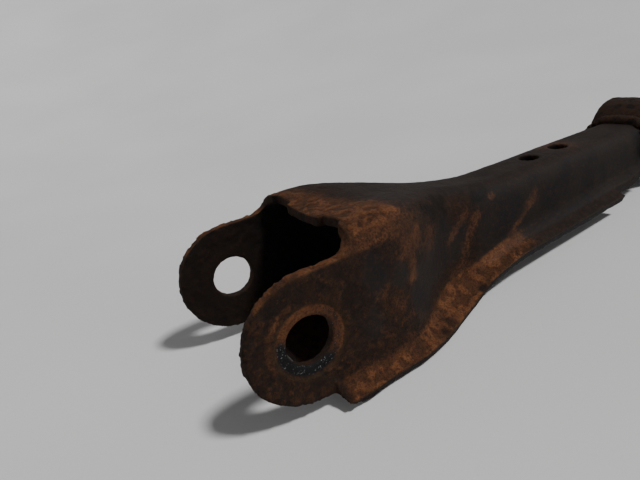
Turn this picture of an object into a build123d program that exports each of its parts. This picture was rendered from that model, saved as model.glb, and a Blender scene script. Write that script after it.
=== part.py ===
from build123d import *
import os
from math import asin, cos, radians, sin, sqrt

# Rear suspension control arm: a pressed, open-bottomed steel channel with a bolt fork at one end
# and a welded eye with a bonded rubber bush at the other. Millimetres.
# Origin: middle of the fork's bolt axis. +X runs along the arm to the bush, +Y along the bolt, +Z up.

# The pressed channel
SHEET = 3.2  # thickness of the sheet
FORK_WIDTH = 52.4  # outside to outside of the two ears
BOLT_HOLE_R = 6.25  # clears an M12 bolt
EAR_R = 16.8
WEB_HIGH = 22.6  # top of the web behind the fork
WEB_LOW = 12.4  # top of the web along the neck
WEB_DROP = (21.0, 86.5)  # stretch of X over which the web comes down
NECK_WIDTH = 22.6
NARROWING = (24.5, 60.0)  # stretch of X over which the walls come together
FOLD_FORK = 7.5  # outer fold radius behind the fork
FOLD_NECK = 7.0  # outer fold radius along the neck
WEB_DIP = 1.3  # how far the middle of the web is pressed down behind the fork
WEB_DIP_RUN = (20.0, 50.0)
LIP_R = 6.0  # bend radius of the lip, which is straight from there to its edge
LIP_TURN = radians(66)  # how far the lip is turned out from the wall
LIP_CORNER = 5.2  # how far the lip stands out: at its front corner,
LIP_FORK = 3.8  # behind the fork,
LIP_WAIST = 9.2  # where the walls come in,
LIP_NECK = 6.5  # and along the neck
LIP_RUNS = ((7.0, 22.0), (25.7, 51.5), (55.0, 69.0))  # where it changes
EDGE_FORK = -20.4  # height of the lower edge behind the fork
EDGE_NECK = -13.5  # where the neck begins
EDGE_EYE = -10.4  # and where the lip stops
EDGE_END = -6.0  # and at the weld to the eye
EDGE_END_RISE = (147.0, 160.0)
EDGE_RISE = (52.6, 88.5)
LIP_START = 4.0  # front of the lip, before its corner is rounded
LIP_END = 137.0  # the lip is cut back from here to the eye
LIP_END_HALF_WIDTH = 13.3
EAR_TO_WEB_X = 15.4  # where the ear's upper edge turns up to the web
EAR_TO_WEB_R = 5.5
EAR_TO_WEB_LEAN = 0.4
EAR_TO_LIP_X = 3.0  # where the ear's lower edge turns down to the lip
EAR_TO_LIP_R = 2.5
LIP_FRONT_SLOPE = 6.5  # how far back the lip's front edge slopes
LIP_FRONT_R = 7.0
TONGUE_X = 15.7  # front edge of the web's tongue
TONGUE_HALF_WIDTH = 8.8
TONGUE_STEP = 1.5
TONGUE_CORNER_R = 0.7
SMALL_HOLE_R = 3.3  # clears an M6 bolt
SMALL_HOLE_PITCH = 15.6
SMALL_HOLES_X = 114.8  # middle of the pair
SEAT_R = 9.4  # ring pressed into the outer faces round the bolt holes
SEAT_DEPTH = 0.4
TRIM_BELOW_LIP = 0.4  # the side trim passes this far below the lip, leaving its edge as lofted

# The plate that closes the channel from below, between the lips
PLATE_THICK = 2.5
PLATE_LIFT = 0.8  # its underside above the lower edge of the lips
PLATE_GAP = 0.05  # keeps the plate off the channel, to which it is welded
PLATE_START = 3.0
PLATE_NOSE_HALF = 14.0  # half the width of its front edge, from which its corners slope back
PLATE_CORNER_X = 11.0

# The eye and its bush
EYE_X = 174.4
EYE_Z = 3.8
EYE_R = 15.5
EYE_WALL = 2.5
EYE_LENGTH = 25.0
EYE_CHAMFER = 0.6
SLEEVE_IN_R = 11.8  # inside of the bush's outer sleeve
OUTER_SLEEVE_LENGTH = 26.0
RUBBER_LENGTH = 24.4
INNER_SLEEVE_R = 8.5
INNER_BORE_R = 6.25
INNER_SLEEVE_LENGTH = 32.0
TWIST_CLEARANCE = 0.05  # between the rubber and the inner sleeve that turns in it
GROOVE_DEPTH = 1.6  # round groove in each end of the rubber
GROOVE_R = 1.2
BEAD_R = 2.6  # weld bead
BEAD_GAP = 0.03  # keeps the beads off the eye

NOSE_X = -20.0  # just in front of the ears
CHANNEL_END = 170.0  # inside the eye's outline, before the channel is cut to the eye
STATIONS = 21  # sections of the loft from the front of the lip to its end
STATIONS_BEFORE = 3  # and before it, which keep the loft straight where it is cut off
BELOW = -40.0  # well below and above everything, for cutting
ABOVE = 40.0


def ease(x, stretch, before, after):
    """A smooth change from one value to another over a stretch of X."""
    u = min(max((x - stretch[0]) / (stretch[1] - stretch[0]), 0.0), 1.0)
    return before + (after - before) * u * u * (3.0 - 2.0 * u)


def web_height(x):
    return ease(x, WEB_DROP, WEB_HIGH, WEB_LOW)


def half_width(x):
    return ease(x, NARROWING, FORK_WIDTH / 2, NECK_WIDTH / 2)


def fold_radius(x):
    return ease(x, NARROWING, FOLD_FORK, FOLD_NECK)


def lip_out(x):
    """How far the outer edge of the lip stands out from the wall."""
    out = LIP_CORNER
    for run, after in zip(LIP_RUNS, (LIP_FORK, LIP_WAIST, LIP_NECK)):
        out = ease(x, run, out, after)
    return out


def lower_edge(x):
    if x < EDGE_RISE[1]:
        return ease(x, EDGE_RISE, EDGE_FORK, EDGE_NECK)
    along_neck = min((x - EDGE_RISE[1]) / (LIP_END - EDGE_RISE[1]), 1.0)
    return ease(x, EDGE_END_RISE, EDGE_NECK + (EDGE_EYE - EDGE_NECK) * along_neck, EDGE_END)


def lip_straight(x):
    """Length of the flat part of the lip, beyond its bend."""
    return (lip_out(x) - LIP_R * (1.0 - cos(LIP_TURN))) / sin(LIP_TURN)


def lip_rise(x):
    """Height from the lower edge to where the wall starts to bend outwards."""
    return (LIP_R + SHEET) * sin(LIP_TURN) + lip_straight(x) * cos(LIP_TURN)


def half_outline(x, side):
    """One side of the hat section at station x, as (y, z) edges: web, fold, wall and turned-out lip."""
    top, half, fold = web_height(x), half_width(x), fold_radius(x)
    dip = ease(x, WEB_DIP_RUN, WEB_DIP, 0.0)
    straight = lip_straight(x)
    lip_top = lower_edge(x) + lip_rise(x)
    fold_centre = half - fold

    def on_fold(radius, angle):
        return (side * (fold_centre + radius * sin(angle)), top - fold + radius * cos(angle))

    def on_lip(depth, angle):
        radius = LIP_R + depth
        return (side * (half + LIP_R - radius * cos(angle)), lip_top - radius * sin(angle))

    def lip_edge(depth):
        y, z = on_lip(depth, LIP_TURN)
        return (y + side * straight * sin(LIP_TURN), z - straight * cos(LIP_TURN))

    def fold_arc(radius):
        return ThreePointArc(*[on_fold(radius, radians(a)) for a in (0, 45, 90)])

    def lip_arc(depth):
        return ThreePointArc(*[on_lip(depth, LIP_TURN * part) for part in (0, 0.5, 1)])

    def skin(depth):
        """The edges at this depth below the outer surface."""
        low, high, bend = top - depth - dip, top - depth, side * fold_centre / 2
        web = Bezier((0, low), (bend, low), (bend, high), (2 * bend, high))
        wall = Line(on_fold(fold - depth, radians(90)), on_lip(depth, 0))
        lip = Line(on_lip(depth, LIP_TURN), lip_edge(depth))
        return [web, fold_arc(fold - depth), wall, lip_arc(depth), lip]

    return skin(0) + [Line(lip_edge(0), lip_edge(SHEET))] + skin(SHEET)


def stations():
    """The places along X of the lofts' sections."""
    step = (CHANNEL_END - LIP_START) / STATIONS
    return [LIP_START + step * i for i in range(-STATIONS_BEFORE, STATIONS + 1)]


def channel_body():
    """The lipped part of the pressing, through a section every few millimetres."""
    sections = [
        Plane.YZ.offset(x) * make_face(half_outline(x, 1) + half_outline(x, -1)) for x in stations()
    ]
    return loft(sections) & box_between((LIP_START, -FORK_WIDTH, BELOW), (CHANNEL_END, FORK_WIDTH, ABOVE))


def round_topped_block(half, top, fold):
    """A block with rounded upper edges, from in front of the ears to the start of the lip."""
    length = LIP_START - NOSE_X
    block = Pos(NOSE_X + length / 2, 0, (top + BELOW) / 2) * Box(length, 2 * half, top - BELOW)
    upper_edges = block.edges().filter_by(Axis.X).group_by(Axis.Z)[-1]
    return fillet(upper_edges, fold)


def fork_body():
    """The plain U in front of the lip, which becomes the two ears."""
    outside = round_topped_block(FORK_WIDTH / 2, WEB_HIGH, FOLD_FORK)
    inside = round_topped_block(FORK_WIDTH / 2 - SHEET, WEB_HIGH - SHEET, FOLD_FORK - SHEET)
    return outside - inside


def rounded_face(points, radii):
    """A flat face through the points, with the listed corners rounded."""
    face = make_face(Polyline(*points, close=True))
    for index, radius in radii.items():
        corner = face.vertices().sort_by_distance(points[index])[0]
        face = fillet(corner, radius)
    return face


def side_trim():
    """The arm seen from the side: what the ears and the front of the lip are trimmed to."""
    lip_bottom = EDGE_FORK - TRIM_BELOW_LIP
    points = [
        (0, EAR_R),
        (EAR_TO_WEB_X, EAR_R),
        (EAR_TO_WEB_X + EAR_TO_WEB_LEAN, ABOVE),
        (CHANNEL_END + 1, ABOVE),
        (CHANNEL_END + 1, lip_bottom),
        (EAR_TO_LIP_X + LIP_FRONT_SLOPE, lip_bottom),
        (EAR_TO_LIP_X, -EAR_R),
        (0, -EAR_R),
    ]
    face = rounded_face(points, {1: EAR_TO_WEB_R, 5: LIP_FRONT_R, 6: EAR_TO_LIP_R})
    side = extrude(Plane.XZ * face, FORK_WIDTH, both=True)
    return side + y_cylinder(0, 0, EAR_R, 2 * FORK_WIDTH)


def web_front():
    """What is cut away in front of the web: its front edge has a wide tongue in the middle."""
    fold_x = EAR_TO_WEB_X + EAR_TO_WEB_LEAN
    fold_y = FORK_WIDTH / 2 - FOLD_FORK
    step_x = TONGUE_X + TONGUE_STEP
    half = [
        (TONGUE_X, TONGUE_HALF_WIDTH),
        (step_x, TONGUE_HALF_WIDTH),
        (step_x, fold_y - TONGUE_STEP),
        (fold_x, fold_y),
        (NOSE_X, fold_y),
    ]
    points = half + [(x, -y) for x, y in reversed(half)]
    last = len(points) - 1
    rounded = {i: TONGUE_CORNER_R for i in (0, 1, 2, last - 2, last - 1, last)}
    face = rounded_face(points, rounded)
    return Pos(0, 0, EAR_R) * extrude(face, ABOVE)


def box_between(low, high):
    size = [b - a for a, b in zip(low, high)]
    middle = [(a + b) / 2 for a, b in zip(low, high)]
    return Pos(*middle) * Box(*size)


def y_cylinder(x, z, radius, length):
    """A cylinder along Y, centred on y = 0."""
    return Pos(x, 0, z) * Rot(90, 0, 0) * Cylinder(radius, length)


def arm_channel():
    channel = (fork_body() + channel_body()) & side_trim()
    channel -= web_front()
    channel -= y_cylinder(0, 0, BOLT_HOLE_R, 2 * FORK_WIDTH)
    for side in (1, -1):
        lip_ends = sorted((side * LIP_END_HALF_WIDTH, side * FORK_WIDTH))
        channel -= box_between((LIP_END, lip_ends[0], BELOW), (CHANNEL_END, lip_ends[1], ABOVE))
        seat_y = side * (FORK_WIDTH / 2 - SEAT_DEPTH + SHEET / 2)
        channel -= Pos(0, seat_y, 0) * y_cylinder(0, 0, SEAT_R, SHEET)
        hole_x = SMALL_HOLES_X + side * SMALL_HOLE_PITCH / 2
        channel -= Pos(hole_x, 0, WEB_LOW) * Cylinder(SMALL_HOLE_R, 4 * SHEET)
    return channel - y_cylinder(EYE_X, EYE_Z, EYE_R, FORK_WIDTH)


def plate_section(x):
    """The plate's section at station x. Its upper corners meet the inside of the lips' bends."""
    low = lower_edge(x) + PLATE_LIFT
    turn = asin((lip_rise(x) - PLATE_LIFT - PLATE_THICK) / (LIP_R + SHEET))
    half = half_width(x) + LIP_R - (LIP_R + SHEET) * cos(turn) - PLATE_GAP
    corners = ((-half, low), (half, low), (half, low + PLATE_THICK), (-half, low + PLATE_THICK))
    return Plane.YZ.offset(x) * make_face(Polyline(*corners, close=True))


def closing_plate(whole_channel):
    plate = loft([plate_section(x) for x in stations()])
    front = [(PLATE_START, PLATE_NOSE_HALF), (PLATE_CORNER_X, FORK_WIDTH / 2), (LIP_END, FORK_WIDTH / 2)]
    outline = front + [(x, -y) for x, y in reversed(front)]
    plate &= Pos(0, 0, BELOW) * extrude(make_face(Polyline(*outline, close=True)), -BELOW)
    plate -= whole_channel
    return max(plate.solids(), key=lambda s: s.volume)


def eye_ring(outer_r, inner_r, length):
    """A tube on the eye's axis."""
    return y_cylinder(EYE_X, EYE_Z, outer_r, length) - y_cylinder(EYE_X, EYE_Z, inner_r, 2 * length)


def chamfered_ring(outer_r, inner_r, length, size):
    ring = eye_ring(outer_r, inner_r, length)
    rims = [e for e in ring.edges().filter_by(GeomType.CIRCLE) if abs(e.radius - outer_r) < 0.01]
    return chamfer(rims, size)


def bush_rubber():
    rubber = eye_ring(SLEEVE_IN_R, INNER_SLEEVE_R + TWIST_CLEARANCE, RUBBER_LENGTH)
    groove_ring_r = (SLEEVE_IN_R + INNER_SLEEVE_R) / 2
    for side in (1, -1):
        groove_y = side * (RUBBER_LENGTH / 2 + GROOVE_R - GROOVE_DEPTH)
        rubber -= Pos(EYE_X, groove_y, EYE_Z) * Rot(90, 0, 0) * Torus(groove_ring_r, GROOVE_R)
    return rubber


def seam_point(y, z):
    """The point on the eye's outer surface, on the arm's side, at this y and z."""
    return (EYE_X - sqrt(EYE_R**2 - (z - EYE_Z) ** 2), y, z)


def fold_seam(angle, side):
    """A point of the seam on the channel's fold, the angle being counted from straight up."""
    across = NECK_WIDTH / 2 - FOLD_NECK + FOLD_NECK * sin(radians(angle))
    return seam_point(side * across, WEB_LOW - FOLD_NECK + FOLD_NECK * cos(radians(angle)))


def weld_bead(route, whole_channel):
    """A round bead along the route, less the channel, the space inside it and the eye."""
    path = Spline(*route)
    bead = sweep(Plane(path @ 0, z_dir=path % 0) * Circle(BEAD_R), path=path)
    low = (LIP_END, -NECK_WIDTH / 2 + SHEET / 2, BELOW)
    high = (EYE_X, NECK_WIDTH / 2 - SHEET / 2, WEB_LOW - SHEET / 2)
    bead -= whole_channel
    bead -= box_between(low, high)
    bead -= y_cylinder(EYE_X, EYE_Z, EYE_R + BEAD_GAP, FORK_WIDTH)
    return max(bead.solids(), key=lambda s: s.volume)


channel = arm_channel()
top_route = [fold_seam(a, 1) for a in (40, 20, 0)] + [fold_seam(a, -1) for a in (0, 20, 40)]
pieces = {
    "arm_channel": channel,
    "closing_plate": closing_plate(channel),
    "eye_tube": chamfered_ring(EYE_R, EYE_R - EYE_WALL, EYE_LENGTH, EYE_CHAMFER),
    "bush_outer_sleeve": chamfered_ring(EYE_R - EYE_WALL, SLEEVE_IN_R, OUTER_SLEEVE_LENGTH, EYE_CHAMFER),
    "bush_rubber": bush_rubber(),
    "bush_inner_sleeve": chamfered_ring(INNER_SLEEVE_R, INNER_BORE_R, INNER_SLEEVE_LENGTH, EYE_CHAMFER),
    "weld_bead_top": weld_bead(top_route, channel),
}
for name, side in (("weld_bead_left", 1), ("weld_bead_right", -1)):
    on_wall = [seam_point(side * NECK_WIDTH / 2, z) for z in (EDGE_END + 2, 0, WEB_LOW - FOLD_NECK)]
    pieces[name] = weld_bead(on_wall + [fold_seam(a, side) for a in (70, 50)], channel)

os.makedirs("parts", exist_ok=True)
for name, shape in pieces.items():
    export_step(shape, f"parts/{name}.step")
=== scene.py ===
"""A rusted suspension control arm on a pale table. Sizes are in millimetres unless a name says otherwise."""

from math import cos, hypot, pi, radians, sin

import bmesh
import bpy
import numpy as np
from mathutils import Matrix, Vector, noise
from mathutils.kdtree import KDTree


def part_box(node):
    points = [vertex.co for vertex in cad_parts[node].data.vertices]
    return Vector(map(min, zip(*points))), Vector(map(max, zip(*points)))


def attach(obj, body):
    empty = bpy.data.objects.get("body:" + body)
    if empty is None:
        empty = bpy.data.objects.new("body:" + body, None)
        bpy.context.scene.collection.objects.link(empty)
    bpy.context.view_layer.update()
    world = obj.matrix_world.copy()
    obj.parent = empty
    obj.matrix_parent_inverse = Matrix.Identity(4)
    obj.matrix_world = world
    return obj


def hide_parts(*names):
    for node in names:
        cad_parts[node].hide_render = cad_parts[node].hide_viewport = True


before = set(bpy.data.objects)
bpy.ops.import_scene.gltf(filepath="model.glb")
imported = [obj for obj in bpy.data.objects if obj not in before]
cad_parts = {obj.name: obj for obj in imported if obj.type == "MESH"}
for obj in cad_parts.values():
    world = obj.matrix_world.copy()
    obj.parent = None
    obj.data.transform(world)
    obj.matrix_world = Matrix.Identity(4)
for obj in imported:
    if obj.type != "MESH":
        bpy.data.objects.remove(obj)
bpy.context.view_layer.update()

MM = 0.001

# The photographer's place and the lamp, in the arm's own frame
CAMERA_AT = (-38.84, -116.19, 63.25)
CAMERA_TURN = (67.97, 9.61, -30.73)  # degrees about X, Y and Z
CAMERA_LENS = 28.125  # with the usual sensor, 36 wide
LAMP_TOWARDS = (0.33, -0.43, 0.84)
LAMP_STRENGTH = 2.75
LAMP_SPREAD = 8.0  # degrees that the lamp covers, seen from the arm
SKY_STRENGTH = 0.075
SKY_COLOUR = (0.97, 0.98, 1.0, 1.0)
FLOOR_GAP = 0.3  # between the table and the lips
FLOOR_BEND = 66.0  # from here on, the table rises a little to the eye
FLOOR_BEND_SOFT = 14.0
FLOOR_FLAT = 300.0  # radius of the middle of the table, beyond which it rises as a cove
FLOOR_CURVE = 1500.0
FLOOR_RADIUS = 2600.0
FLOOR_RINGS = 90
FLOOR_RING_GROWTH = 2.2  # above 1, the rings lie closer together in the middle
FLOOR_SPOKES = 192


# ---------------------------------------------------------------- surfaces


def fine_copy(node, grain):
    """A finely divided copy of a CAD node, with its sharp edges a little rounded, to be roughened."""
    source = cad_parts[node]
    piece = bpy.data.objects.new(node + "_worn", source.data.copy())
    bpy.context.scene.collection.objects.link(piece)
    remesh = piece.modifiers.new("Divide", "REMESH")
    remesh.mode = "VOXEL"
    remesh.voxel_size = grain * MM
    relax = piece.modifiers.new("Relax", "SMOOTH")
    relax.iterations = 4
    wrap = piece.modifiers.new("Wrap", "SHRINKWRAP")
    wrap.target = source
    wrap.wrap_method = "NEAREST_SURFACEPOINT"
    soften = piece.modifiers.new("Soften", "SMOOTH")
    soften.iterations = 1
    seen = piece.evaluated_get(bpy.context.evaluated_depsgraph_get())
    mesh = bpy.data.meshes.new_from_object(seen)
    piece.modifiers.clear()
    piece.data = mesh
    mesh.materials.clear()
    mesh.shade_smooth()
    return piece


class Surface:
    """The vertices of a fine copy, in millimetres, and what is worked out for each of them."""

    def __init__(self, piece, node):
        self.mesh = piece.data
        count = len(self.mesh.vertices)
        flat = np.empty(count * 3, np.float32)
        self.mesh.vertices.foreach_get("co", flat)
        self.at = flat.reshape(-1, 3).astype(float) / MM
        self.mesh.vertices.foreach_get("normal", flat)
        self.normal = flat.reshape(-1, 3).astype(float)
        self.from_edge = self.distances_to_edges(node)

    def distances_to_edges(self, node, sharp=radians(38), step=0.4, far=12.0):
        """How far each vertex is from the nearest sharp edge of the CAD node."""
        shape = bmesh.new()
        shape.from_mesh(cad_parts[node].data)
        bmesh.ops.remove_doubles(shape, verts=shape.verts, dist=0.001 * MM)
        points = []
        for edge in shape.edges:
            if edge.is_manifold and edge.calc_face_angle() > sharp:
                a, b = (corner.co / MM for corner in edge.verts)
                count = max(1, round((b - a).length / step))
                points += [a.lerp(b, i / count) for i in range(count + 1)]
        shape.free()
        if not points:
            return np.full(len(self.at), far)
        tree = KDTree(len(points))
        for i, point in enumerate(points):
            tree.insert(point, i)
        tree.balance()
        return np.array([tree.find(p)[2] for p in self.at])

    def lumps(self, size, octaves=1, seed=0):
        """Smooth noise about 0, with lumps about size across."""
        shift = Vector((37.3, -17.9, 11.7)) * seed
        return np.array([noise.fractal(Vector(p) + shift, 1.0, 2.0, octaves) for p in self.at / size])

    def pits(self, spacing, share, seed=0):
        """How deep each point lies in a scattering of round pits, from 0 to 1."""
        shift = Vector((-5.1, 23.7, 9.9)) * (seed + 1)
        depth = np.zeros(len(self.at))
        for i, p in enumerate(self.at):
            distance, places = noise.voronoi(Vector(p) / spacing + shift)
            chance = noise.cell(places[0] * 7.31 + shift)  # the same all over a pit
            if chance < share:
                width = 0.14 + 0.22 * (chance / share)
                depth[i] = max(0.0, 1.0 - (distance[0] / width) ** 2)
        return depth

    def move(self, distance):
        """Moves every vertex along its normal."""
        self.at += self.normal * distance[:, None]
        self.mesh.vertices.foreach_set("co", (self.at * MM).ravel().astype(np.float32))
        self.mesh.update()

    def keep(self, name, values):
        """Stores a value for each vertex, for the material to read."""
        layer = self.mesh.attributes.new(name, "FLOAT", "POINT")
        layer.data.foreach_set("value", np.clip(values, 0.0, 1.0).astype(np.float32))


def rise(values, low, high):
    """0 below low, 1 above high and smooth between them; falls if low is the larger."""
    t = np.clip((values - low) / (high - low), 0.0, 1.0)
    return t * t * (3.0 - 2.0 * t)


def all_of(*masks):
    return np.prod(masks, axis=0)


def any_of(*masks):
    return np.max(masks, axis=0)


# ---------------------------------------------------------------- materials


class Recipe:
    """A material being put together. Each method adds nodes and gives back their output."""

    def __init__(self, name):
        self.material = bpy.data.materials.new(name)
        self.material.use_nodes = True
        self.tree = self.material.node_tree
        self.shader = self.tree.nodes["Principled BSDF"]
        place = self.tree.nodes.new("ShaderNodeVectorMath")
        place.operation = "SCALE"
        place.inputs["Scale"].default_value = 1 / MM
        self.feed(place.inputs[0], self.tree.nodes.new("ShaderNodeTexCoord").outputs["Object"])
        self.place = place.outputs["Vector"]

    def feed(self, socket, value):
        """Links a node's output to the socket, or sets the socket to a number or a colour."""
        if isinstance(value, bpy.types.NodeSocket):
            self.tree.links.new(value, socket)
        else:
            socket.default_value = value

    def maths(self, operation, a, b):
        node = self.tree.nodes.new("ShaderNodeMath")
        node.operation = operation
        self.feed(node.inputs[0], a)
        self.feed(node.inputs[1], b)
        return node.outputs[0]

    def stored(self, name):
        """A value that Surface.keep stored for each vertex."""
        node = self.tree.nodes.new("ShaderNodeAttribute")
        node.attribute_name = name
        return node.outputs["Fac"]

    def grain(self, size, detail=3.0, roughness=0.55):
        """Noise from 0 to 1, with features about size across."""
        node = self.tree.nodes.new("ShaderNodeTexNoise")
        self.feed(node.inputs["Vector"], self.place)
        node.inputs["Scale"].default_value = 1.0 / size
        node.inputs["Detail"].default_value = detail
        node.inputs["Roughness"].default_value = roughness
        return node.outputs["Fac"]

    def cracks(self, size):
        """The distance to the nearest wall between many scattered cells, each about size across."""
        node = self.tree.nodes.new("ShaderNodeTexVoronoi")
        node.feature = "DISTANCE_TO_EDGE"
        self.feed(node.inputs["Vector"], self.place)
        node.inputs["Scale"].default_value = 1.0 / size
        return node.outputs["Distance"]

    def between(self, value, low, high, start=0.0, end=1.0):
        """start where value is low or less, end where it is high or more, and smooth between them."""
        node = self.tree.nodes.new("ShaderNodeMapRange")
        node.interpolation_type = "SMOOTHSTEP"
        self.feed(node.inputs["Value"], value)
        numbers = {"From Min": low, "From Max": high, "To Min": start, "To Max": end}
        for socket, number in numbers.items():
            node.inputs[socket].default_value = number
        return node.outputs["Result"]

    def torn(self, mask, noise_value, tear=0.6, sharp=0.12):
        """A soft mask given a torn outline by noise."""
        uneven = self.maths("MULTIPLY", self.maths("SUBTRACT", noise_value, 0.5), tear)
        return self.between(self.maths("ADD", mask, uneven), 0.5 - sharp, 0.5 + sharp)

    def mix(self, amount, a, b):
        """Colour a where amount is 0, and colour b where it is 1."""
        node = self.tree.nodes.new("ShaderNodeMix")
        node.data_type = "RGBA"
        self.feed(node.inputs["Factor"], amount)
        # a Mix node has sockets called A and B for every type of data, and this picks the colour ones
        colour_sockets = {socket.name: socket for socket in node.inputs if socket.type == "RGBA"}
        for name, value in (("A", a), ("B", b)):
            self.feed(colour_sockets[name], (*value, 1.0) if isinstance(value, tuple) else value)
        return next(socket for socket in node.outputs if socket.type == "RGBA")

    def finish(self, colour, roughness, height, depth=0.12, metallic=0.0, specular=0.35):
        """Sets the shader. height is in units of depth, in millimetres."""
        self.feed(self.shader.inputs["Base Color"], colour)
        self.feed(self.shader.inputs["Roughness"], roughness)
        self.feed(self.shader.inputs["Metallic"], metallic)
        self.shader.inputs["Specular IOR Level"].default_value = specular
        bump = self.tree.nodes.new("ShaderNodeBump")
        bump.inputs["Distance"].default_value = depth * MM
        self.feed(bump.inputs["Height"], height)
        self.tree.links.new(bump.outputs["Normal"], self.shader.inputs["Normal"])
        return self.material


# Colours, as linear light
UMBER = (0.0135, 0.0078, 0.0048)
BROWN_RUST = (0.033, 0.0145, 0.0070)
ORANGE_RUST = (0.098, 0.032, 0.0100)
PALE_RUST = (0.175, 0.072, 0.030)
BLACK_PAINT = (0.0050, 0.0045, 0.0050)
DUSTY_PAINT = (0.0108, 0.0080, 0.0062)
# dark rust crust for pits and specks, also used as painted shade inside the channel and on the lips' cut
# edge
CRUST_AND_SHADE = (0.0042, 0.0030, 0.0025)
# olive for the rims: edge wear and a painted edge highlight
OLIVE_WEAR_AND_SHEEN = (0.030, 0.020, 0.010)
DARK_STEEL = (0.014, 0.0135, 0.0145)
# pale grey for painted glints on the bared steel
GLINT_GREY = (0.36, 0.36, 0.37)
SLEEVE_GREY = (0.10, 0.105, 0.115)
RUBBER_BLACK = (0.012, 0.012, 0.013)
RUBBER_DUST = (0.06, 0.052, 0.044)
CRACK_BLACK = (0.004, 0.004, 0.004)
TABLE_LOW = (0.66, 0.655, 0.655)
TABLE_HIGH = (0.70, 0.695, 0.695)
TABLE_FLECK = (0.55, 0.54, 0.53)


def pressed_steel():
    """The arm's own finish: worn dark paint over brown rust, with orange rust where marked."""
    make = Recipe("worn_pressed_steel")
    patchy = make.grain(4.5, detail=5, roughness=0.62)
    fine = make.grain(1.1, detail=5, roughness=0.7)
    speck = make.grain(0.5, detail=3, roughness=0.7)
    mottle = make.maths("ADD", make.maths("MULTIPLY", patchy, 0.45), make.maths("MULTIPLY", fine, 0.55))

    brown = make.mix(make.between(mottle, 0.38, 0.62), UMBER, BROWN_RUST)
    brown = make.mix(make.between(fine, 0.56, 0.74, 0, 0.45), brown, ORANGE_RUST)
    brown = make.mix(make.between(speck, 0.49, 0.60, 0, 0.6), brown, CRUST_AND_SHADE)

    broad = make.grain(11, detail=3)
    paint = make.mix(make.between(broad, 0.35, 0.65), BLACK_PAINT, DUSTY_PAINT)
    paint = make.mix(make.between(fine, 0.46, 0.68, 0, 0.6), paint, BROWN_RUST)
    painted = make.torn(make.stored("paint"), mottle, tear=1.2, sharp=0.46)

    orange = make.mix(make.between(fine, 0.35, 0.7), ORANGE_RUST, PALE_RUST)
    orange = make.mix(make.between(mottle, 0.46, 0.62, 0, 0.75), orange, BROWN_RUST)
    orange = make.mix(make.between(speck, 0.49, 0.60, 0, 0.55), orange, UMBER)
    rusted = make.torn(make.stored("orange"), fine, tear=1.2, sharp=0.48)

    colour = make.mix(painted, brown, paint)
    colour = make.mix(rusted, colour, orange)
    # painted shade: the channel's inside, the lips' cut edge and the wall beside the eye are darkened here;
    # the real eaten hollows come through the same value
    colour = make.mix(make.stored("inside"), colour, CRUST_AND_SHADE)
    colour = make.mix(make.between(make.stored("pit"), 0.1, 1.0, 0, 0.55), colour, CRUST_AND_SHADE)
    # partly edge wear, partly a painted highlight: the sharp edges are lightened to olive as if catching the
    # light
    worn = make.torn(make.stored("edge"), fine, tear=0.9, sharp=0.25)
    colour = make.mix(make.maths("MULTIPLY", worn, 0.5), colour, OLIVE_WEAR_AND_SHEEN)

    bare = make.torn(make.stored("bare"), fine, tear=0.9, sharp=0.25)
    # painted highlight: scattered pale specks on the bared steel stand in for glints
    glint = make.maths("MULTIPLY", bare, make.between(speck, 0.63, 0.69))
    colour = make.mix(bare, colour, DARK_STEEL)
    colour = make.mix(glint, colour, GLINT_GREY)

    dull = make.between(painted, 0, 1, 0.88, 0.72)
    rough = make.maths("SUBTRACT", dull, make.maths("MULTIPLY", bare, 0.28))
    rough = make.maths("ADD", rough, make.between(fine, 0.3, 0.7, -0.06, 0.06))
    height = make.maths("ADD", fine, make.maths("MULTIPLY", speck, 0.5))
    height = make.maths("MULTIPLY", height, make.between(painted, 0, 1, 1.0, 0.5))
    metal = make.maths("MULTIPLY", bare, 0.7)
    return make.finish(colour, rough, height, depth=0.34, metallic=metal, specular=0.2)


def rusted_tube():
    """The eye, the welds and the closing plate: dark brown rust, with a little orange."""
    make = Recipe("rusted_tube")
    patchy = make.grain(3.2, detail=5, roughness=0.62)
    fine = make.grain(0.8, detail=4, roughness=0.65)
    speck = make.grain(0.4, detail=2)
    colour = make.mix(make.between(patchy, 0.32, 0.66), UMBER, BROWN_RUST)
    colour = make.mix(make.between(fine, 0.56, 0.74, 0, 0.45), colour, ORANGE_RUST)
    colour = make.mix(make.between(speck, 0.6, 0.72, 0, 0.6), colour, CRUST_AND_SHADE)
    colour = make.mix(make.between(make.stored("pit"), 0.1, 0.8, 0, 0.85), colour, CRUST_AND_SHADE)
    # partly edge wear, partly a painted highlight: the sharp edges are lightened to olive as if catching the
    # light
    worn = make.torn(make.stored("edge"), fine, tear=0.9, sharp=0.2)
    colour = make.mix(make.maths("MULTIPLY", worn, 0.6), colour, OLIVE_WEAR_AND_SHEEN)
    rough = make.between(patchy, 0.3, 0.7, 0.78, 0.92)
    height = make.maths("ADD", fine, make.maths("MULTIPLY", speck, 0.35))
    return make.finish(colour, rough, height, depth=0.28, specular=0.2)


def sleeve_steel():
    """The bush's sleeves: grey steel under thin brown rust."""
    make = Recipe("sleeve_steel")
    patchy = make.grain(2.6, detail=5, roughness=0.6)
    fine = make.grain(0.5, detail=3)
    rusted = make.between(patchy, 0.42, 0.58)
    rust = make.mix(make.between(fine, 0.4, 0.65), BROWN_RUST, ORANGE_RUST)
    colour = make.mix(rusted, SLEEVE_GREY, rust)
    rough = make.between(rusted, 0, 1, 0.38, 0.85)
    metal = make.between(rusted, 0, 1, 0.9, 0.0)
    height = make.maths("ADD", make.maths("MULTIPLY", rusted, 0.6), make.maths("MULTIPLY", fine, 0.5))
    return make.finish(colour, rough, height, depth=0.12, metallic=metal)


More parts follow.
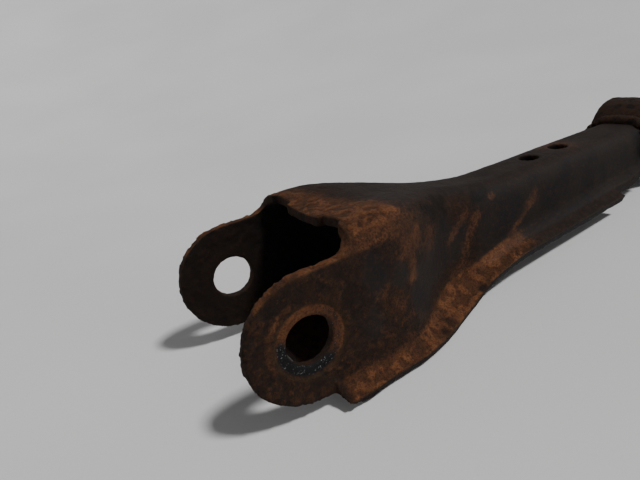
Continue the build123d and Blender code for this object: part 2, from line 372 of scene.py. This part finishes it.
def old_rubber():
    """The bush's rubber: black, greyed by dust, with fine cracks."""
    make = Recipe("old_rubber")
    dust = make.grain(3.0, detail=5, roughness=0.7)
    fine = make.grain(0.35, detail=3)
    uncracked = make.between(make.cracks(1.6), 0.0, 0.06)
    colour = make.mix(make.between(dust, 0.42, 0.72), RUBBER_BLACK, RUBBER_DUST)
    colour = make.mix(make.between(uncracked, 0, 1, 0.6, 0), colour, CRACK_BLACK)
    rough = make.between(dust, 0.35, 0.7, 0.62, 0.9)
    height = make.maths("ADD", uncracked, make.maths("MULTIPLY", fine, 0.6))
    return make.finish(colour, rough, height, depth=0.1)


def table_top():
    """Pale, faintly mottled laminate."""
    make = Recipe("table_top")
    cloud = make.grain(160, detail=2)
    fine = make.grain(1.2, detail=3)
    colour = make.mix(make.between(cloud, 0.3, 0.7), TABLE_LOW, TABLE_HIGH)
    colour = make.mix(make.between(fine, 0.5, 0.9, 0, 0.12), colour, TABLE_FLECK)
    return make.finish(colour, make.between(fine, 0.3, 0.7, 0.5, 0.58), fine, depth=0.02, specular=0.3)


# ---------------------------------------------------------------- the arm

EAR_Y = 26.2  # outer face of an ear
WALL_Y = 19.0  # about where the walls are, each side of the middle
PATCH_REACH = 14.0  # how far a patch reaches from there, across the arm
SEAT_RADIUS = 9.4  # the ring pressed round each bolt hole
SMALL_HOLES_X = 114.8  # middle of the pair of small holes
SMALL_HOLE_OFFSET = 7.8  # from there to the middle of each
RIPPLE_PITCH = 1.7  # along a weld
RIPPLE_HEIGHT = 0.22

# Patches on the near wall: how far along and how high each one's middle is, its half length and half height
PAINT_PATCHES = (
    (19, 10, 5.0, 8.0),
    (15.5, -3, 7.0, 5.0),
    (27, 6.5, 3.4, 4.0),
    (37, -3, 6.5, 9.5),
    (44, 0, 5.5, 8.0),
    (53, 2, 7.0, 9.5),
    (60, -1, 6.5, 8.5),
)
FAINT_PATCHES = (
    (24.3, -1, 4.6, 4.2),
    (21.7, 3.5, 3.0, 2.4),
    (45, 8, 5.0, 5.0),
    (60.6, -10.4, 6.0, 4.0),
)
DRIP_PATCHES = ((33, 12.5, 6.0, 4.0), (32.6, 3.2, 2.4, 1.6))

# Runs of rust down the near wall: from and to, each as how far along and how high, and their half widths
DRIP_RUN = ((33.0, 12.0), (32.6, 3.5), 1.5)
STREAKS = (
    ((69.0, 6.0), (61.0, -9.0), 1.5),
    ((64.5, 7.5), (56.5, 0.5), 1.3),
    ((95.5, 4.0), (92.0, 1.5), 1.8),
    ((91.0, -1.0), (82.5, -6.5), 0.9),
)

# Two lone stains, on the fold of the web and round the last small hole: their middles and half sizes
FOLD_STAIN = ((76.5, -11.0, 9.2), (1.7, 14.0, 1.2))
HOLE_STAIN = ((124, 2, 12.4), (7, 8, 4))

# Dark hollows eaten into the near side: their middles and radii
HOLLOWS = (
    ((70.3, -9.9, 11.1), 3.2),
    ((74.0, -8.8, 11.6), 2.4),
    ((48.9, -14.5, 13.4), 3.4),
    ((54.2, -11.9, 13.0), 3.6),
    ((43.5, -15.5, 15.0), 2.6),
    ((63.9, -17.7, -15.5), 1.3),
    ((44.1, -22.6, -16.1), 2.2),
    ((40.6, -25.8, -17.0), 1.8),
)


class ArmSurface(Surface):
    """The pressed channel's surface, with a mask for each of its faces."""

    def __init__(self, piece, node):
        super().__init__(piece, node)
        x, y, z = self.at.T
        self.wander = self.lumps(4.0, 3, seed=2) * 1.4
        self.upwards = self.normal[:, 2]
        self.outwards = self.normal[:, 1] * np.sign(y)
        self.from_bolt = np.hypot(x, z)
        self.near = rise(y, 2.0, -2.0)
        self.web = rise(self.upwards, 0.5, 0.85) * rise(z, 2, 8)
        self.wall = all_of(rise(self.outwards, 0.3, 0.8), rise(x, 11, 19))
        self.lip = all_of(rise(self.upwards, 0.2, 0.5), rise(z, -4, -7), rise(x, 4, 7))
        self.ear_face = rise(self.outwards, 0.5, 0.8)
        self.seat = rise(self.from_bolt, SEAT_RADIUS + 0.2, SEAT_RADIUS - 0.6)
        self.seat *= rise(np.abs(y), EAR_Y - 1.2, EAR_Y - 0.7)
        self.seat_low = rise(-0.55 * x - 0.85 * z, -1.0, 5.0)

    def spot(self, centre, radii, ragged=0.25):
        """1 inside an ellipsoid and 0 outside it, with a soft and ragged outline."""
        offset = (self.at - np.array(centre)) / np.array(radii)
        return rise(np.linalg.norm(offset, axis=1) + ragged * self.wander, 1.5, 0.45)

    def patch(self, along, up, half_length, half_height):
        """An oval area of the near wall."""
        return self.spot((along, -WALL_Y, up), (half_length, PATCH_REACH, half_height))

    def run(self, start, end, half_width):
        """A streak of rust down the near wall, between two (x, z) points."""
        places = self.at[:, ::2]
        a, b = np.array(start), np.array(end)
        share = np.clip((places - a) @ (b - a) / ((b - a) @ (b - a)), 0, 1)
        away = np.linalg.norm(places - a - share[:, None] * (b - a), axis=1)
        above_lip = rise(self.at[:, 2], -12, -9)
        return self.near * rise(away / half_width + 0.5 * self.wander, 2.3, 0.0) * above_lip


def inside_shade_layout(arm):
    """Painted shade inside the channel, darker further back from the fork's mouth, and painted shadow on the
    downward-facing cut edge of the lips.
    """
    x, _, z = arm.at.T
    within = any_of(rise(arm.outwards, -0.2, -0.7), all_of(rise(arm.upwards, -0.2, -0.6), rise(x, 12, 16)))
    cut_edge = all_of(rise(arm.upwards, -0.15, -0.35), rise(arm.outwards, 0.55, 0.8), rise(z, -6, -8))
    return any_of(within * (0.5 + 0.42 * rise(x, 2, 16)), 0.7 * cut_edge)


def paint_layout(arm):
    """Where the old paint is left: on most of the walls, and thinly on the web and the neck's lips."""
    x, y, _ = arm.at.T
    on_near_wall = any_of(rise(x, 62, 76), *(arm.patch(*patch) for patch in PAINT_PATCHES))
    on_far_wall = all_of(rise(arm.lumps(14, 2, seed=5), -0.25, 0.3), rise(x, 14, 28))
    on_walls = arm.wall * np.where(y < 0, on_near_wall, on_far_wall)
    return any_of(on_walls, 0.62 * arm.web * rise(x, 22, 38), 0.45 * arm.lip * rise(x, 80, 92))


def orange_layout(arm):
    """Where the rust is orange: the web's front, the near lip, the ears and patches of the near wall."""
    x, y, z = arm.at.T
    web_front = all_of(arm.web, rise(x + 0.35 * y + 2.0 * arm.wander, 33, 19))
    lip_front = (0.72 + 0.28 * rise(x, 46, 56)) * rise(x + 3.0 * arm.wander, 95, 74)
    lip = arm.lip * arm.near * any_of(1.1 * lip_front, 0.6 * rise(x, 100, 70))
    drip = arm.wall * any_of(arm.run(*DRIP_RUN), *(arm.patch(*patch) for patch in DRIP_PATCHES))
    streaks = any_of(arm.spot(*FOLD_STAIN), *(arm.run(*streak) for streak in STREAKS))
    sloping = rise(arm.upwards, 0.05, 0.3) * rise(arm.upwards, 0.97, 0.8)
    fold = all_of(sloping, arm.near, rise(z, 11, 16), rise(x, 48, 24))
    faint = any_of(arm.spot(*HOLE_STAIN), *(arm.patch(*patch) for patch in FAINT_PATCHES))
    grooves = 0.5 + 0.5 * np.clip(arm.lumps(3.0, 2, seed=9) * 2.0, -1, 1)
    low_wall = all_of(arm.wall, arm.near, rise(z, -2, -9), rise(x, 44, 30))
    ears = rise(x, 13, 9) * arm.ear_face
    round_the_seat = rise(np.abs(arm.from_bolt - SEAT_RADIUS - 1.6), 1.5, 0.2) * arm.ear_face
    round_the_seat *= rise(-x + 0.2 * z, 1, 8) * rise(z, -8, 0)
    return any_of(
        1.1 * web_front,
        lip,
        0.68 * drip,
        0.46 * streaks,
        0.5 * fold,
        0.38 * faint,
        0.34 * grooves * low_wall,
        (0.10 + 0.16 * grooves) * ears,
        0.62 * round_the_seat,
        0.8 * arm.seat * (1 - arm.seat_low),
    )


def bare_layout(arm):
    """Where the bolt has rubbed the seat to bare steel, mostly at its lower front."""
    rubbed = any_of(arm.seat_low, 0.45 * rise(arm.at[:, 0], 0, 5))
    return arm.seat * rubbed * rise(arm.from_bolt, 9.2, 8.2)


def hollows_and_eye_shade_layout(arm):
    """Where the steel is deeply eaten, in the hollows, and painted shade on the near wall beside the eye's
    weld.
    """
    hollows = (arm.spot(middle, (radius,) * 3, ragged=0.5) for middle, radius in HOLLOWS)
    # the wall from 150 along onwards is darkened as painted shade where it meets the eye
    return any_of(rise(arm.at[:, 0], 150, 156) * arm.wall, *hollows)


def crisp_layout(arm):
    """Where the surface stays true, round all the holes."""
    x, y, _ = arm.at.T
    from_small_hole = np.hypot(np.abs(x - SMALL_HOLES_X) - SMALL_HOLE_OFFSET, y)
    return any_of(rise(arm.from_bolt, SEAT_RADIUS + 1.5, SEAT_RADIUS), rise(from_small_hole, 6, 4.5))


def build_arm():
    piece = fine_copy("arm_channel", grain=0.55)
    arm = ArmSurface(piece, "arm_channel")
    paint = paint_layout(arm)
    orange = orange_layout(arm)
    hollows_and_eye_shade = hollows_and_eye_shade_layout(arm)
    crisp = crisp_layout(arm)
    arm.keep("paint", paint)
    arm.keep("orange", orange)
    # the 'inside' value is painted shade (channel inside, lips' cut edge, wall beside the eye) plus the real
    # eaten hollows
    arm.keep("inside", any_of(inside_shade_layout(arm), 0.75 * hollows_and_eye_shade))
    arm.keep("bare", bare_layout(arm))
    arm.keep("edge", rise(arm.from_edge, 0.7, 0.0))
    x = arm.at[:, 0]
    thick_rust = any_of(rise(x, 24, 8), orange, arm.lip, np.full_like(x, 0.35))
    thick_rust *= (1 - 0.6 * paint) * (1 - 0.7 * crisp)
    pits = any_of(arm.pits(1.5, 0.14, seed=1), 0.8 * arm.pits(2.7, 0.03, seed=2)) * thick_rust
    near_edge = rise(arm.from_edge, 1.4, 0.1) * (1 - 0.85 * crisp)
    eaten = rise(x, 8, -12)  # the ears' ends are eaten away most
    relief = 0.08 * arm.lumps(16, 2, seed=1)
    relief += 0.13 * thick_rust * arm.lumps(2.0, 4, seed=3)
    relief -= 0.28 * pits + 0.25 * hollows_and_eye_shade * np.abs(arm.lumps(1.2, 2, seed=5))
    relief -= near_edge * (0.06 + (0.16 + 0.30 * eaten) * np.abs(arm.lumps(1.5, 3, seed=4)))
    arm.keep("pit", pits)
    arm.move(relief)
    piece.data.materials.append(pressed_steel())
    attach(piece, "arm")
    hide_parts("arm_channel")


def build_rough(node, material, grain=0.5, lump=0.10, ripple=None, body="arm"):
    """A rusted piece that keeps its CAD shape, with a rough skin. ripple is the way along a weld."""
    piece = fine_copy(node, grain)
    surface = Surface(piece, node)
    edge = rise(surface.from_edge, 1.0, 0.1)
    pits = surface.pits(2.4, 0.2, seed=3)
    relief = lump * surface.lumps(2.2, 3, seed=6) - 0.2 * pits * min(1.0, lump * 10)
    relief -= edge * (0.05 + 0.2 * np.abs(surface.lumps(2.0, 2, seed=7)))
    if ripple:
        along = surface.at @ np.array(ripple) + 0.35 * surface.lumps(3.0, 2, seed=8)
        relief += RIPPLE_HEIGHT * (np.abs(np.sin(pi * along / RIPPLE_PITCH)) - 0.5)
    surface.keep("pit", pits)
    surface.keep("edge", edge)
    surface.move(relief)
    piece.data.materials.append(material)
    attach(piece, body)
    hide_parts(node)


build_arm()
tube = rusted_tube()
steel = sleeve_steel()
build_rough("closing_plate", tube, grain=0.7, lump=0.08)
build_rough("eye_tube", tube, grain=0.6, lump=0.14)
build_rough("weld_bead_top", tube, grain=0.3, ripple=(0, 1, 0))
build_rough("weld_bead_left", tube, grain=0.3, ripple=(0, 0, 1))
build_rough("weld_bead_right", tube, grain=0.3, ripple=(0, 0, 1))
build_rough("bush_outer_sleeve", steel, lump=0.02)
build_rough("bush_inner_sleeve", steel, lump=0.02, body="bush_inner")
build_rough("bush_rubber", old_rubber(), lump=0.04)


# ---------------------------------------------------------------- the setting


def floor_height(x, y, slope):
    """How far the table lies above its lowest part."""
    past_bend = x - FLOOR_BEND
    lean = slope * (past_bend + hypot(past_bend, FLOOR_BEND_SOFT)) / 2
    return lean + max(0.0, hypot(x, y) - FLOOR_FLAT) ** 2 / (2 * FLOOR_CURVE)


def build_floor():
    """A round table top. It is level under the fork, rises to meet the eye, and curves up far away."""
    lip_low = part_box("arm_channel")[0].z / MM - FLOOR_GAP
    eye_low, eye_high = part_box("eye_tube")
    eye_x = (eye_low.x + eye_high.x) / 2 / MM
    slope = (eye_low.z / MM - lip_low - FLOOR_GAP) / (eye_x - FLOOR_BEND)
    rings = [FLOOR_RADIUS * ((i + 1) / FLOOR_RINGS) ** FLOOR_RING_GROWTH for i in range(FLOOR_RINGS)]
    angles = [2 * pi * i / FLOOR_SPOKES for i in range(FLOOR_SPOKES)]
    shape = bmesh.new()

    def vertex(x, y):
        return shape.verts.new((x * MM, y * MM, (lip_low + floor_height(x, y, slope)) * MM))

    middle = vertex(0, 0)
    grid = [[vertex(r * cos(a), r * sin(a)) for a in angles] for r in rings]
    for i in range(FLOOR_SPOKES):
        after = (i + 1) % FLOOR_SPOKES
        shape.faces.new((middle, grid[0][i], grid[0][after]))
        for inner, outer in zip(grid, grid[1:]):
            shape.faces.new((inner[i], outer[i], outer[after], inner[after]))
    mesh = bpy.data.meshes.new("table_top")
    shape.to_mesh(mesh)
    shape.free()
    mesh.shade_smooth()
    floor = bpy.data.objects.new("table_top", mesh)
    bpy.context.scene.collection.objects.link(floor)
    mesh.materials.append(table_top())


def build_light():
    lamp = bpy.data.lights.new("lamp", "SUN")
    lamp.energy = LAMP_STRENGTH
    lamp.angle = radians(LAMP_SPREAD)
    holder = bpy.data.objects.new("lamp", lamp)
    holder.rotation_euler = Vector(LAMP_TOWARDS).to_track_quat("Z", "Y").to_euler()
    bpy.context.scene.collection.objects.link(holder)
    sky = bpy.data.worlds.new("sky")
    sky.use_nodes = True
    background = sky.node_tree.nodes["Background"]
    background.inputs["Color"].default_value = SKY_COLOUR
    background.inputs["Strength"].default_value = SKY_STRENGTH
    bpy.context.scene.world = sky


def build_camera():
    camera = bpy.data.cameras.new("camera")
    camera.lens = CAMERA_LENS
    camera.clip_start = 1.0 * MM
    holder = bpy.data.objects.new("camera", camera)
    holder.location = Vector(CAMERA_AT) * MM
    holder.rotation_euler = [radians(angle) for angle in CAMERA_TURN]
    bpy.context.scene.collection.objects.link(holder)
    bpy.context.scene.camera = holder


build_floor()
build_light()
build_camera()
